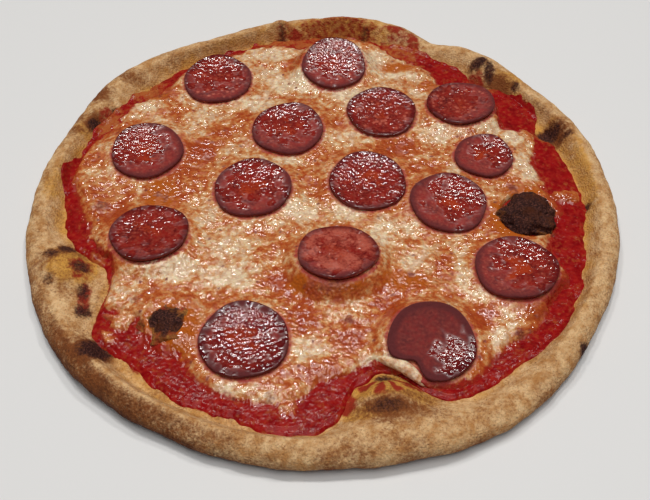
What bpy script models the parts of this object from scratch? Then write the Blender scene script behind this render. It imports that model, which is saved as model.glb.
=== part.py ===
"""A whole round pepperoni pizza: dough with a raised rim, tomato sauce, melted cheese, fifteen slices.

Units are metres, +Z is up, and the origin is the centre of the flat underside. +Y is the far
side as the pizza is served, so angles run anticlockwise from +X, the eater's right.
"""

import math

import bmesh
import bpy
from mathutils import Euler, Vector, noise

MM = 0.001
TURN = 2 * math.pi
GAP = 0.3 * MM  # air left between two solids that touch
SAME_POINT = 0.01 * MM  # points closer than this are one
SHARP_ANGLE = 50  # degrees between two faces above which their edge is kept sharp

# Dough
EDGE_RADIUS = 159.5 * MM  # out to the widest point of the rim
FLOOR_TOP = 4.5 * MM  # the dough under the toppings
RIM_TOP = 14 * MM  # the crest of the rim above the table
RIM_CREST_IN = 10 * MM  # from the widest point in to the crest
RIM_UNDERCUT = 7 * MM  # from the widest point in to where the rim leaves the table
RIM_WIDEST_SHARE = 0.42  # height of the widest point, as a share of the crest's
FOOT_IN = 4 * MM  # from the edge of the sauce in to the foot of the rim
FOOT_RISE = 0.8 * MM  # how far the dough has risen at the edge of the sauce
EDGE_WAVES = ((2, 1.0, 150), (3, 0.8, 300), (5, 0.6, 40), (9, 0.4, 200))  # lobes, mm, degrees
CREST_WAVES = ((3, 0.8, 20), (7, 0.6, 110), (12, 0.5, 250))
# Swells and dents of the rim: angle, half width in degrees, outwards and upwards in mm.
RIM_SWELLS = (
    (84, 22, 0.0, 3.0),
    (63, 9, -3.5, -2.5),
    (47, 12, 1.5, 1.5),
    (113, 14, -2.5, -1.0),
    (141, 20, 4.0, 0.5),
    (303, 30, 2.5, 0.0),
    (283, 14, 0.5, 1.5),
    (238, 24, -0.5, 1.0),
)
# Bubbles of dough in the rim: x, y, half length across x, half width across y, height in mm.
RIM_BUBBLES = (
    (6, 141, 33, 15, 5.5),
    (-27, 146, 9, 8, 4.5),
    (97, 106, 10, 11, 3.5),
    (131, 56, 8, 7, 2.5),
    (-128, -47, 16, 18, 5.0),
    (-108, -97, 8, 8, 2.0),
    (-130, 66, 8, 8, 2.0),
    (28, -122, 25, 15, 6.5),
)
BUBBLE_START = 2 * MM  # a rim bubble starts to rise this far inside the edge of the sauce
BUBBLE_REACH = 8 * MM  # and it rises fully over this width
BUBBLE_LEVEL = 3 * MM  # or over this height above the dough floor
# Charred blisters that stand up through sauce and cheese: x, y, half sizes x, y and z in mm.
BLISTERS = (
    (110, -11, 15.5, 14.5, 11.0),
    (-75, -83, 14.0, 15.0, 9.0),
)
BLISTER_SINK = 2 * MM  # centre of a blister below the top of the dough floor
BLISTER_ROOT = 1.8 * MM  # depth of its flattened lower half
BLISTER_CRAGS = 0.09  # unevenness of a blister, as a share of its size
CRAG_DENSITY = 2.1  # crags to a blister's radius

# Sauce
SAUCE_THICKNESS = 1.2 * MM
SAUCE_RADIUS = 140.5 * MM
SAUCE_LIP = 1.2 * MM  # width of its thin edge
SAUCE_LIP_SHARES = (0.45, 0.1)  # its thickness at the start and at the end of that edge, as shares
SAUCE_WAVES = ((3, 1.6, 350), (5, 1.4, 160), (11, 1.0, 30))
# Bays and tongues in the edge of the sauce: angle, half width in degrees, outwards in mm.
SAUCE_BAYS = ((204, 17, -20), (284, 16, -25), (46, 8, -5), (83, 16, 6))

# Cheese
CHEESE_THICKNESS = 2.3 * MM
CHEESE_EDGE = 0.9 * MM  # thickness left at its rim
CHEESE_RADIUS = 128 * MM
CHEESE_CLEARANCE = 2 * MM  # least distance from the foot of the rim
CHEESE_SLOPE = 9 * MM  # width over which it thins towards its rim
CHEESE_WAVES = ((4, 2.0, 80), (7, 2.2, 10), (13, 1.6, 300))
CHEESE_BAYS = (
    (203, 14, -6),
    (281, 16, -12),
    (42, 16, -14),
    (80, 18, 8),
    (110, 22, 6),
    (168, 16, 4),
    (14, 12, -5),
    (232, 10, -8),
    (345, 12, -6),
)
CHEESE_LUMPS = 1.0 * MM  # height of its lumps
LUMP_SIZE = 17 * MM
FINE_LUMP_SHARE = 0.4  # height of the second, half-size layer of lumps

# Pepperoni
SLICE_THICKNESS = 2.2 * MM
SLICE_ROUNDING = 0.7 * MM
BED_MARGIN = 10 * MM  # width of the cheese round a slice that rises or sinks to meet it
LOW_SIDE_MARGIN = 6 * MM  # the cheese goes on down with the slice's plane this far past its low side
CURL_SPREAD = 100  # the curl of a slice fades out this many degrees from the side that is raised
CURL_START = 0.6  # share of the radius where the curl starts
CURL_AT_START = 0.2  # share of the curl reached there
# Slices: x, y, diameter and lift in mm, the side that is raised and the tilt in degrees, curl in mm.
SLICES = (
    (-64, 98, 41.0, 0.6, 90, 3, 0.8),
    (7, 108, 38.5, 5.0, 90, 13, 0.6),
    (-20, 53, 41.0, 1.0, 60, 2, 1.0),
    (35, 68, 40.5, 0.6, 100, 2, 0.8),
    (82, 74, 40.0, 2.2, 300, 5, 0.8),
    (-99, 34, 40.0, 1.8, 100, 5, 1.0),
    (-38, 6, 42.0, 0.8, 40, 2, 0.8),
    (25, 11, 42.0, 0.8, 120, 3, 0.8),
    (91, 31, 32.5, 0.6, 60, 2, 0.6),
    (68, -5, 41.0, 0.8, 120, 3, 0.6),
    (-90, -28, 41.0, 2.2, 280, 4, 1.2),
    (8, -43, 41.5, 4.2, 275, 10, 1.0),
    (98, -51, 42.0, 1.6, 300, 3, 1.0),
    (-37, -94, 43.0, 0.6, 90, 1, 0.8),
    (52, -96, 42.0, 2.6, 115, 7, 0.6),
)
FOLDED_SLICE = 15  # counted from one: its near left edge is folded under
FOLD_ANGLE = 232
FOLD_HALF_WIDTH = 34
FOLD_DEPTH = 6.5 * MM

# Facets
RIM_FACETS = 132
ARC_FACETS = 7
SLOPE_FACETS = 5
CHEESE_FACETS = 100
CHEESE_RINGS = 16
SLICE_FACETS = 26

DOUGH_COLOUR = (0.62, 0.42, 0.22)
SAUCE_COLOUR = (0.38, 0.02, 0.01)
CHEESE_COLOUR = (0.72, 0.47, 0.22)
PEPPERONI_COLOUR = (0.20, 0.02, 0.012)


def clear_scene():
    for thing in list(bpy.data.objects):
        bpy.data.objects.remove(thing)


def material(name, colour, roughness):
    made = bpy.data.materials.new(name)
    made.use_nodes = True
    shader = made.node_tree.nodes["Principled BSDF"]
    shader.inputs["Base Color"].default_value = (*colour, 1.0)
    shader.inputs["Roughness"].default_value = roughness
    shader.inputs["Metallic"].default_value = 0.0
    return made


def add_object(name, shape, finish):
    """Turns a bmesh into a named, smooth-shaded object in the scene."""
    mesh = bpy.data.meshes.new(name)
    shape.to_mesh(mesh)
    shape.free()
    mesh.materials.append(finish)
    mesh.shade_smooth()
    mesh.set_sharp_from_angle(angle=math.radians(SHARP_ANGLE))
    made = bpy.data.objects.new(name, mesh)
    bpy.context.scene.collection.objects.link(made)
    return made


def waves(angle, terms):
    """Sum of cosines, in metres, from (lobes, mm, degrees) terms."""
    return sum(size * MM * math.cos(lobes * angle - math.radians(phase)) for lobes, size, phase in terms)


def bump(angle, centre, half_width):
    """1 at the centre angle, falling smoothly to 0 at half_width degrees to either side."""
    away = abs((math.degrees(angle) - centre + 180) % 360 - 180)
    return 0.5 + 0.5 * math.cos(math.pi * away / half_width) if away < half_width else 0.0


def ease(share):
    share = min(1.0, max(0.0, share))
    return share * share * (3 - 2 * share)


def edge_radius(angle):
    swells = sum(out * MM * bump(angle, at, wide) for at, wide, out, _ in RIM_SWELLS)
    return EDGE_RADIUS + waves(angle, EDGE_WAVES) + swells


def crest_height(angle):
    swells = sum(up * MM * bump(angle, at, wide) for at, wide, _, up in RIM_SWELLS)
    return RIM_TOP + waves(angle, CREST_WAVES) + swells


def sauce_radius(angle):
    bays = sum(out * MM * bump(angle, at, wide) for at, wide, out in SAUCE_BAYS)
    return SAUCE_RADIUS + waves(angle, SAUCE_WAVES) + bays


def cheese_radius(angle):
    bays = sum(out * MM * bump(angle, at, wide) for at, wide, out in CHEESE_BAYS)
    free = CHEESE_RADIUS + waves(angle, CHEESE_WAVES) + bays
    return min(free, sauce_radius(angle) - FOOT_IN - CHEESE_CLEARANCE)


def dome(x, y, bubble):
    """Height of a rim bubble at a place: a round dome that meets the dough smoothly."""
    centre_x, centre_y, half_x, half_y, height = (value * MM for value in bubble)
    share = math.hypot((x - centre_x) / half_x, (y - centre_y) / half_y)
    return height * (1 - share * share) ** 1.5 if share < 1 else 0.0


def top_centre():
    """Centre of the outline's bounding box, which becomes the origin."""
    steps = [TURN * step / RIM_FACETS for step in range(RIM_FACETS)]
    xs = [edge_radius(angle) * math.cos(angle) for angle in steps]
    ys = [edge_radius(angle) * math.sin(angle) for angle in steps]
    return (max(xs) + min(xs)) / 2, (max(ys) + min(ys)) / 2


def spun(stations, facets):
    """A closed shell: a line of (radius, height) stations spun round, then placed by angle.

    stations(angle) gives the line for one angle. Its first and last points lie on the axis.
    """
    shape = bmesh.new()
    count = len(stations(0.0))
    line = [shape.verts.new((index * MM, 0, 0)) for index in range(count - 1)]
    line.append(shape.verts.new((0, 0, -count * MM)))
    edges = [shape.edges.new(pair) for pair in zip(line, line[1:])]
    bmesh.ops.spin(
        shape, geom=line + edges, cent=(0, 0, 0), axis=(0, 0, 1), angle=TURN, steps=facets, use_merge=True
    )
    bmesh.ops.remove_doubles(shape, verts=shape.verts, dist=SAME_POINT)
    bmesh.ops.recalc_face_normals(shape, faces=shape.faces)
    for vertex in shape.verts:
        place = vertex.co.copy()
        index = count - 1 if place.z < -MM / 2 else round(math.hypot(place.x, place.y) / MM)
        angle = math.atan2(place.y, place.x) % TURN
        radius, height = stations(angle)[index]
        vertex.co = (radius * math.cos(angle), radius * math.sin(angle), height)
    return shape


def dough_stations(angle):
    """Crust from the centre of its top, over the rim, to the centre of its underside."""
    edge = edge_radius(angle)
    sauce = sauce_radius(angle)
    foot = sauce - FOOT_IN
    top = crest_height(angle)
    crest = edge - RIM_CREST_IN
    widest = RIM_WIDEST_SHARE * top
    low = FLOOR_TOP + FOOT_RISE
    line = [(0.0, FLOOR_TOP), (foot, FLOOR_TOP)]
    for step in range(SLOPE_FACETS):
        share = step / SLOPE_FACETS
        line.append((sauce + (crest - sauce) * share, low + (top - low) * ease(share)))
    for step in range(ARC_FACETS + 1):
        turn = math.pi * (0.5 - step / ARC_FACETS)
        inner = crest if turn > 0 else edge - RIM_UNDERCUT
        height = widest + (top - widest if turn > 0 else widest) * math.sin(turn)
        line.append((inner + (edge - inner) * math.cos(turn), height))
    line.append((0.0, 0.0))
    return line


def swell_rim(shape):
    """Raises the bubbles of dough on the upper side of the rim."""
    for vertex in shape.verts:
        x, y, z = vertex.co
        radius = math.hypot(x, y)
        sauce = sauce_radius(math.atan2(y, x) % TURN)
        if z > FLOOR_TOP and radius > sauce + MM:
            inward = ease((radius - sauce + BUBBLE_START) / BUBBLE_REACH)
            rise = inward * ease((z - FLOOR_TOP) / BUBBLE_LEVEL)
            vertex.co.z += rise * max(dome(x, y, bubble) for bubble in RIM_BUBBLES)


def blister(name, spec, grow, finish):
    """A craggy half-buried ball of dough. grow makes the larger copy that cuts the toppings."""
    x, y, half_x, half_y, half_z = (value * MM for value in spec)
    shape = bmesh.new()
    bmesh.ops.create_icosphere(shape, subdivisions=3, radius=1.0)
    for vertex in shape.verts:
        crag = 1 + BLISTER_CRAGS * noise.noise(vertex.co * CRAG_DENSITY + Vector((x, y, 0)) / MM)
        way = vertex.co.normalized()
        tall = half_z if way.z > 0 else BLISTER_ROOT
        vertex.co = Vector((way.x * half_x, way.y * half_y, way.z * tall)) * crag + way * grow
    made = add_object(name, shape, finish)
    made.location = (x, y, FLOOR_TOP - BLISTER_SINK)
    return made


def apply_modifiers(thing):
    """Bakes an object's modifiers into its mesh."""
    graph = bpy.context.evaluated_depsgraph_get()
    done = bpy.data.meshes.new_from_object(thing.evaluated_get(graph))
    thing.modifiers.clear()
    thing.data = done


def combine(thing, others, operation, solver="EXACT"):
    """Joins the others to the thing, or cuts them from it, in one Boolean."""
    group = bpy.data.collections.new(thing.name + "_tools")
    bpy.context.scene.collection.children.link(group)
    for other in others:
        group.objects.link(other)
    boolean = thing.modifiers.new(operation.lower(), "BOOLEAN")
    boolean.operation = operation
    boolean.solver = solver
    boolean.operand_type = "COLLECTION"
    boolean.collection = group
    bpy.context.view_layer.update()
    apply_modifiers(thing)
    for other in others:
        bpy.data.objects.remove(other)
    bpy.data.collections.remove(group)


def slice_plane(spec):
    """The centre of a slice's underside and its rotation."""
    x, y, _, lift, raised_side, tilt, _ = spec
    toward = math.radians(raised_side)
    # Turning about the horizontal axis square to the raised side lifts that side.
    turn = Vector((math.sin(toward), -math.cos(toward), 0)) * math.radians(tilt)
    rotation = Euler((turn.x, turn.y, 0)).to_matrix()
    bed = FLOOR_TOP + SAUCE_THICKNESS + CHEESE_THICKNESS + 3 * GAP
    return Vector((x * MM, y * MM, bed + lift * MM)), rotation


def bed_at(spec, x, y):
    """Height that keeps the cheese below a slice, and how far past the slice's edge a place is.

    Past the edge it is the height of the edge, or a little lower on the side that is tilted down.
    """
    centre, rotation = slice_plane(spec)
    normal = rotation @ Vector((0, 0, 1))
    away = Vector((x - centre.x, y - centre.y))
    radius = spec[2] * MM / 2
    past = away.length - radius
    rises = normal.x * away.x + normal.y * away.y < 0
    reach = radius if rises else radius + LOW_SIDE_MARGIN
    if away.length > reach:
        away.length = reach
    return centre.z - GAP - (normal.x * away.x + normal.y * away.y) / normal.z, past


def cheese_lumps(x, y):
    coarse = noise.noise(Vector((x, y, 0)) / LUMP_SIZE)
    fine = noise.noise(Vector((x, y, LUMP_SIZE)) / (LUMP_SIZE / 2))
    return CHEESE_LUMPS * (coarse + FINE_LUMP_SHARE * fine)


def cheese_top(x, y, share):
    """Height of the cheese at a place. share is its radius as a share of the cheese's outline."""
    bottom = FLOOR_TOP + SAUCE_THICKNESS + 2 * GAP
    height = bottom + CHEESE_THICKNESS + cheese_lumps(x, y)
    beds = [bed for bed in (bed_at(spec, x, y) for spec in SLICES) if bed[1] < BED_MARGIN]
    for bed, past in beds:
        height += (1 - ease(past / BED_MARGIN)) * max(0.0, bed - height)
    for bed, _ in beds:
        height = min(height, bed)
    rounded = ease((1 - share) * cheese_radius(math.atan2(y, x) % TURN) / CHEESE_SLOPE)
    return max(bottom + CHEESE_EDGE, bottom + CHEESE_EDGE + (height - bottom - CHEESE_EDGE) * rounded)


def make_crust():
    """Dough disc with its rim, and the blisters joined to it."""
    finish = material("baked_dough", DOUGH_COLOUR, 0.75)
    shape = spun(dough_stations, RIM_FACETS)
    swell_rim(shape)
    crust = add_object("crust", shape, finish)
    blisters = [blister(f"blister_{n}", spec, 0.0, finish) for n, spec in enumerate(BLISTERS, 1)]
    combine(crust, blisters, "UNION")
    return crust


def sauce_stations(angle):
    """Sauce from the centre of its top to the centre of its underside, lying on the dough."""
    sauce = sauce_radius(angle)
    foot = sauce - FOOT_IN
    at_edge = FLOOR_TOP + FOOT_RISE + GAP
    low = FLOOR_TOP + GAP
    return [
        (0.0, low + SAUCE_THICKNESS),
        (foot, low + SAUCE_THICKNESS),
        (sauce - SAUCE_LIP, at_edge + SAUCE_LIP_SHARES[0] * SAUCE_THICKNESS),
        (sauce, at_edge + SAUCE_LIP_SHARES[1] * SAUCE_THICKNESS),
        (sauce, at_edge),
        (foot, low),
        (0.0, low),
    ]


def cheese_stations(angle):
    """Cheese from the centre of its top to the centre of its underside."""
    outline = cheese_radius(angle)
    bottom = FLOOR_TOP + SAUCE_THICKNESS + 2 * GAP
    line = []
    for ring in range(CHEESE_RINGS + 1):
        share = ring / CHEESE_RINGS
        radius = outline * share
        line.append((radius, cheese_top(radius * math.cos(angle), radius * math.sin(angle), share)))
    return line + [(outline, bottom), (0.0, bottom)]


def make_layer(name, stations, facets, finish):
    """A topping spun like the dough, with the blisters cut out of it."""
    layer = add_object(name, spun(stations, facets), finish)
    cutters = [blister(f"{name}_cut_{n}", spec, 2 * GAP, finish) for n, spec in enumerate(BLISTERS, 1)]
    combine(layer, cutters, "DIFFERENCE")
    return layer


def slice_outline(angle, radius, number):
    """Radius of a slice. The folded one is drawn in where its edge is tucked under."""
    uneven = 0.25 * MM * math.cos(3 * angle + number) + 0.2 * MM * math.cos(5 * angle - 2 * number)
    if number == FOLDED_SLICE:
        uneven -= FOLD_DEPTH * bump(angle, FOLD_ANGLE, FOLD_HALF_WIDTH)
    return radius + uneven


def make_slice(number, spec, finish):
    """One slice: a thin disc with a rounded rim, curled up a little on the side that is raised."""
    _, _, diameter, _, raised_side, _, curl = spec
    radius = diameter * MM / 2

    def stations(angle):
        rim = slice_outline(angle, radius, number)
        lifted = curl * MM * bump(angle, raised_side, CURL_SPREAD)
        return [
            (0.0, SLICE_THICKNESS),
            (rim * CURL_START, SLICE_THICKNESS + lifted * CURL_AT_START),
            (rim - SLICE_ROUNDING, SLICE_THICKNESS + lifted),
            (rim, SLICE_THICKNESS - SLICE_ROUNDING + lifted),
            (rim - SLICE_ROUNDING / 2, lifted),
            (0.0, 0.0),
        ]

    made = add_object(f"pepperoni_{number:02d}", spun(stations, SLICE_FACETS), finish)
    centre, rotation = slice_plane(spec)
    made.location = centre
    made.rotation_euler = rotation.to_euler()
    return made


def make_slices(carrier):
    finish = material("pepperoni", PEPPERONI_COLOUR, 0.35)
    for number, spec in enumerate(SLICES, 1):
        made = make_slice(number, spec, finish)
        made.parent = carrier


def main():
    clear_scene()
    make_crust()
    make_layer("sauce", sauce_stations, RIM_FACETS, material("tomato_sauce", SAUCE_COLOUR, 0.3))
    make_layer("cheese", cheese_stations, CHEESE_FACETS, material("melted_cheese", CHEESE_COLOUR, 0.35))
    carrier = bpy.data.objects.new("pizza", None)
    bpy.context.scene.collection.objects.link(carrier)
    make_slices(carrier)
    offset_x, offset_y = top_centre()
    for thing in bpy.context.scene.collection.objects:
        if thing.parent is None:
            thing.location.x -= offset_x
            thing.location.y -= offset_y


main()
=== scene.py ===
# %% [markdown]
# # A whole pepperoni pizza
# The solids of the pizza are already made at their real size: a disc of dough with a raised rim, a skin of
# sauce, a layer of cheese and fifteen slices of cured sausage. They are loaded as a fixed frame. Every piece
# made here takes the place of one of them, keeps its form, and adds what an oven does: blisters, char, oil,
# and a surface that is never the same twice.

# %% The frame
import math

import bmesh
import bpy
import numpy as np
from mathutils import Euler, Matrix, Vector


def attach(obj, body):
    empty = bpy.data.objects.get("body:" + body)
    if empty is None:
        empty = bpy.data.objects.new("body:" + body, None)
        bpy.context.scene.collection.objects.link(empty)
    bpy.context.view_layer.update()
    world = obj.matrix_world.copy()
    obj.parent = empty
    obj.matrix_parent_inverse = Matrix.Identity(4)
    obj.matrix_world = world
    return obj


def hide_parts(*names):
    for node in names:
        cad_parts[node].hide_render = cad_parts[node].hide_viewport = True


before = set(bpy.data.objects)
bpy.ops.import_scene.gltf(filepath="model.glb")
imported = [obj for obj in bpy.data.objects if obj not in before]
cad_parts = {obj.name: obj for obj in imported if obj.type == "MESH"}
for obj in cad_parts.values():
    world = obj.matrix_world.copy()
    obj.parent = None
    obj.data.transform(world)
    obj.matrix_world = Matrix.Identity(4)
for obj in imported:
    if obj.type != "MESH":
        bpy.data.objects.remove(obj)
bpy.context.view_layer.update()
print("solids:", len(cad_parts))

# %% [markdown]
# ## Units and unevenness
# A cook thinks of a pizza in millimetres, so every number below is in millimetres from the middle of the
# toppings, and only the last step turns it into metres. Nothing baked is smooth, so two kinds of
# unevenness are needed: soft lumps of any size, and round cells like bubbles or specks. Blender has both as
# textures, but the shapes need them as numbers for each point, so they are worked out here for many points
# at once.

# %% Unevenness
MM = 0.001
TURN = 2 * math.pi
DRAW = np.random.default_rng(20)
SHUFFLE = DRAW.permutation(256)
SLOPES = DRAW.normal(size=(256, 3))
SLOPES /= np.linalg.norm(SLOPES, axis=1)[:, None]
JITTER = DRAW.uniform(size=(256, 2))
LUMP_SEED_STEP = 7.31  # each seed moves to a fresh part of the pattern
CELL_SEED_STEP = 3.17
LUMP_GAIN = 1.6  # brings the heights of the lumps to about -1 and 1


def ease(share):
    share = np.clip(share, 0, 1)
    return share * share * (3 - 2 * share)


def lumps(points, size, seed=0):
    """Smooth random heights from about -1 to 1, with lumps of a size in mm."""
    place = points / size + seed * LUMP_SEED_STEP
    cell = np.floor(place).astype(int)
    inside = place - cell
    fade = inside**3 * (inside * (inside * 6 - 15) + 10)
    total = np.zeros(len(points))
    for corner in np.ndindex(2, 2, 2):
        at = cell + corner
        pick = SHUFFLE[(SHUFFLE[(SHUFFLE[at[:, 0] & 255] + at[:, 1]) & 255] + at[:, 2]) & 255]
        rise = np.einsum("ij,ij->i", inside - corner, SLOPES[pick])
        total += rise * np.prod(np.where(np.array(corner, bool), fade, 1 - fade), axis=1)
    return total * LUMP_GAIN


def layered(points, layers):
    """Lumps of several sizes over each other. A layer is a depth and a size in mm, and a seed."""
    return sum(depth * lumps(points, size, seed) for depth, size, seed in layers)


def cells(points, size, seed=0):
    """Distance to the nearest of many scattered dots, in dot spacings, and a random number for the dot."""
    place = points[:, :2] / size + seed * CELL_SEED_STEP
    cell = np.floor(place).astype(int)
    nearest = np.full(len(points), 9.0)
    owner = np.zeros(len(points))
    for step in np.ndindex(3, 3):
        at = cell + step - 1
        pick = SHUFFLE[(SHUFFLE[at[:, 0] & 255] + at[:, 1]) & 255]
        away = np.linalg.norm(at + JITTER[pick] - place, axis=1)
        owner = np.where(away < nearest, pick / 255, owner)
        nearest = np.minimum(away, nearest)
    return nearest, owner


def spots(points, features, soft=0.5, ragged=0.3, size=3.0):
    """How strongly each point lies in one of the spots (x, y, half length, half width, strength)."""
    strength = np.zeros(len(points))
    wobble = ragged * lumps(points, size, 3)
    for x, y, half_x, half_y, amount in features:
        share = np.hypot((points[:, 0] - x) / half_x, (points[:, 1] - y) / half_y) + wobble
        strength = np.maximum(strength, amount * ease((1 - share) / soft + 0.5))
    return strength


along_a_line = lumps(np.linspace((0, 0, 0), (300, 200, 100), 2000), 5)
print("lumps go from", round(along_a_line.min(), 2), "to", round(along_a_line.max(), 2))

# %% [markdown]
# ## Outlines
# The rim, the sauce and the cheese are all nearly round, so each outline is a radius for every angle: a
# mean, a few slow waves, and swells and bays where the real one has them. These are the same rules and
# sizes as the solids', so the fine pieces fit over them.

# %% Outlines
# Waves are lobes, size in mm and turn in degrees. Swells and bays are a middle and a half width in degrees,
# then mm outwards and, for the rim, mm upwards.
EDGE_RADIUS = 159.5
FLOOR_TOP = 4.5
RIM_TOP = 14
RIM_CREST_IN = 10
RIM_UNDERCUT = 7
RIM_WIDEST_SHARE = 0.42
FOOT_IN = 4
FOOT_RISE = 0.8
EDGE_WAVES = ((2, 1.0, 150), (3, 0.8, 300), (5, 0.6, 40), (9, 0.4, 200))
CREST_WAVES = ((3, 0.8, 20), (7, 0.6, 110), (12, 0.5, 250))
RIM_SWELLS = (
    (84, 22, 0.0, 3.0), (63, 9, -3.5, -2.5), (47, 12, 1.5, 1.5), (113, 14, -2.5, -1.0), (141, 20, 4.0, 0.5),
    (303, 30, 2.5, 0.0), (283, 14, 0.5, 1.5), (238, 24, -0.5, 1.0),
)
SAUCE_THICKNESS = 1.2
SAUCE_RADIUS = 140.5
SAUCE_WAVES = ((3, 1.6, 350), (5, 1.4, 160), (11, 1.0, 30))
SAUCE_BAYS = ((204, 17, -20), (284, 16, -25), (46, 8, -5), (83, 16, 6))
CHEESE_THICKNESS = 2.3
CHEESE_RADIUS = 128
CHEESE_WAVES = ((4, 2.0, 80), (7, 2.2, 10), (13, 1.6, 300))
CHEESE_CLEARANCE = 2
CHEESE_BAYS = (
    (203, 14, -6), (281, 16, -12), (42, 16, -14), (80, 18, 8), (110, 22, 6), (168, 16, 4), (14, 12, -5),
    (232, 10, -8), (345, 12, -6),
)
GAP = 0.3
# How far the visible edge of the sauce lies outside its even outline: angle, half width in degrees, mm.
SAUCE_SHORE = (
    (10, 16, -1.5), (23.5, 6, -5), (34, 10, 2.5), (53, 8, 3), (66, 12, 4), (150, 22, 4), (172, 8, 4),
    (188, 8, -2), (219, 7, 3), (232, 14, -4.5), (250, 16, -3), (277, 4, -4), (293, 6, 4), (320, 16, 2.5),
    (340, 14, 0.5), (356, 10, 0.5),
)
# The same for the cheese.
CHEESE_SHORE = (
    (4, 10, -5), (18, 6, 2.5), (28, 5, -5), (42, 10, 5), (53, 6, -7), (62, 6, 5), (82, 24, 13),
    (108, 12, 4), (128, 16, 9), (147, 16, 12), (170, 20, 14), (190, 7, -3.5), (204, 8, 3), (214, 12, 11),
    (232, 10, 7), (252, 16, 3), (271, 9, -10), (285, 6, 4), (303, 10, 3.5), (322, 14, 8), (336, 7, 14),
    (344, 8, 5), (353, 5, -3),
)


def waves(angle, terms):
    return sum(size * np.cos(lobes * angle - math.radians(phase)) for lobes, size, phase in terms)


def bump(angle, centre, half_width):
    """1 at the centre angle, falling smoothly to 0 at half_width degrees to either side."""
    away = np.abs((np.degrees(angle) - centre + 180) % 360 - 180)
    return np.where(away < half_width, 0.5 + 0.5 * np.cos(math.pi * away / half_width), 0.0)


def swell(angle, rows):
    """How far out the swells and bays go. A row is a middle and a half width in degrees, and mm."""
    return sum(out * bump(angle, at, wide) for at, wide, out in rows)


def edge_radius(angle):
    swells = sum(out * bump(angle, at, wide) for at, wide, out, _ in RIM_SWELLS)
    return EDGE_RADIUS + waves(angle, EDGE_WAVES) + swells


def crest_height(angle):
    swells = sum(up * bump(angle, at, wide) for at, wide, _, up in RIM_SWELLS)
    return RIM_TOP + waves(angle, CREST_WAVES) + swells


def sauce_radius(angle):
    return SAUCE_RADIUS + waves(angle, SAUCE_WAVES) + swell(angle, SAUCE_BAYS)


def cheese_radius(angle):
    free = CHEESE_RADIUS + waves(angle, CHEESE_WAVES) + swell(angle, CHEESE_BAYS)
    return np.minimum(free, sauce_radius(angle) - FOOT_IN - CHEESE_CLEARANCE)


OUTLINE_STEPS = 132
STEPS = np.arange(OUTLINE_STEPS) * TURN / OUTLINE_STEPS
OUTLINE = np.stack([edge_radius(STEPS) * np.cos(STEPS), edge_radius(STEPS) * np.sin(STEPS)])
CENTRE = np.array([*(OUTLINE.max(axis=1) + OUTLINE.min(axis=1)) / 2, 0])  # middle of the outline's box
print("outline in mm:", OUTLINE.max(axis=1) - OUTLINE.min(axis=1), "its middle:", CENTRE)

# %% [markdown]
# ## Camera, floor and light
# The camera comes first, because every later choice is judged through it. The pizza is seen from in front
# and above, at an angle of fifty degrees, with a normal lens from less than half a metre. Food looks moist
# when lamps stand behind it: their reflections run over each drop of oil towards the viewer. So four small
# lamps hang high behind it and to its sides, about three metres off, where they light the near and the far
# slices alike. A large soft one fills the near side. The sky is almost dark, because its reflection would
# turn the deep reds grey.

# %% Camera
PITCH = math.radians(49.9)
DISTANCE = 477.5
TARGET = np.array((1.5, -29.7, 0))
LENS = 50
SENSOR = 36
NEAREST_SEEN = 0.01  # in metres


def in_metres(place):
    return Vector((np.array(place) - CENTRE) * MM)


camera = bpy.data.objects.new("camera", bpy.data.cameras.new("camera"))
camera.data.lens = LENS
camera.data.sensor_width = SENSOR
camera.data.clip_start = NEAREST_SEEN
camera.location = in_metres(TARGET + np.array((0, -math.cos(PITCH), math.sin(PITCH))) * DISTANCE)
camera.rotation_euler = (math.pi / 2 - PITCH, 0, 0)
bpy.context.scene.collection.objects.link(camera)
bpy.context.scene.camera = camera
print("camera at", [round(value, 3) for value in camera.location])

# %% Light and floor
FLOOR_HALF = 2.5  # in metres
FLOOR_COLOUR = (0.80, 0.80, 0.80)
SKY_COLOUR = (0.97, 0.98, 1.0)
SKY_STRENGTH = 0.06
# Lamps: name, place in metres, size in metres, power in watts, colour.
LAMPS = (
    ("key_high", (-0.15, 0.80, 2.85), 0.3, 17, (1.0, 0.98, 0.95)),
    ("key_low", (0.12, 1.40, 2.65), 0.16, 1.6, (1.0, 0.98, 0.95)),
    ("key_left", (-0.90, 0.90, 2.70), 0.3, 14.5, (1.0, 0.98, 0.95)),
    ("key_right", (0.90, 0.90, 2.70), 0.3, 14.5, (1.0, 0.98, 0.95)),
    ("fill", (0.05, -0.35, 1.3), 0.9, 7.3, (1.0, 0.99, 0.97)),
)


def mesh_of(shape, name):
    """Turns a finished bmesh into a mesh."""
    mesh = bpy.data.meshes.new(name)
    shape.to_mesh(mesh)
    shape.free()
    return mesh


def add_lamp(name, place, size, power, colour):
    lamp = bpy.data.lights.new(name, "AREA")
    lamp.shape = "SQUARE"
    lamp.size = size
    lamp.energy = power
    lamp.color = colour
    stand = bpy.data.objects.new(name, lamp)
    stand.location = place
    stand.rotation_euler = (-Vector(place)).to_track_quat("-Z", "Y").to_euler()
    bpy.context.scene.collection.objects.link(stand)
    print(name, "hangs", round(Vector(place).length, 2), "m away")


def add_floor():
    shape = bmesh.new()
    bmesh.ops.create_grid(shape, x_segments=1, y_segments=1, size=FLOOR_HALF)
    finish = bpy.data.materials.new("floor")
    finish.use_nodes = True
    shader = finish.node_tree.nodes["Principled BSDF"]
    shader.inputs["Base Color"].default_value = (*FLOOR_COLOUR, 1)
    shader.inputs["Roughness"].default_value = 0.9
    shader.inputs["Specular IOR Level"].default_value = 0.1
    mesh = mesh_of(shape, "floor")
    mesh.materials.append(finish)
    floor = bpy.data.objects.new("floor", mesh)
    bpy.context.scene.collection.objects.link(floor)


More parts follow.
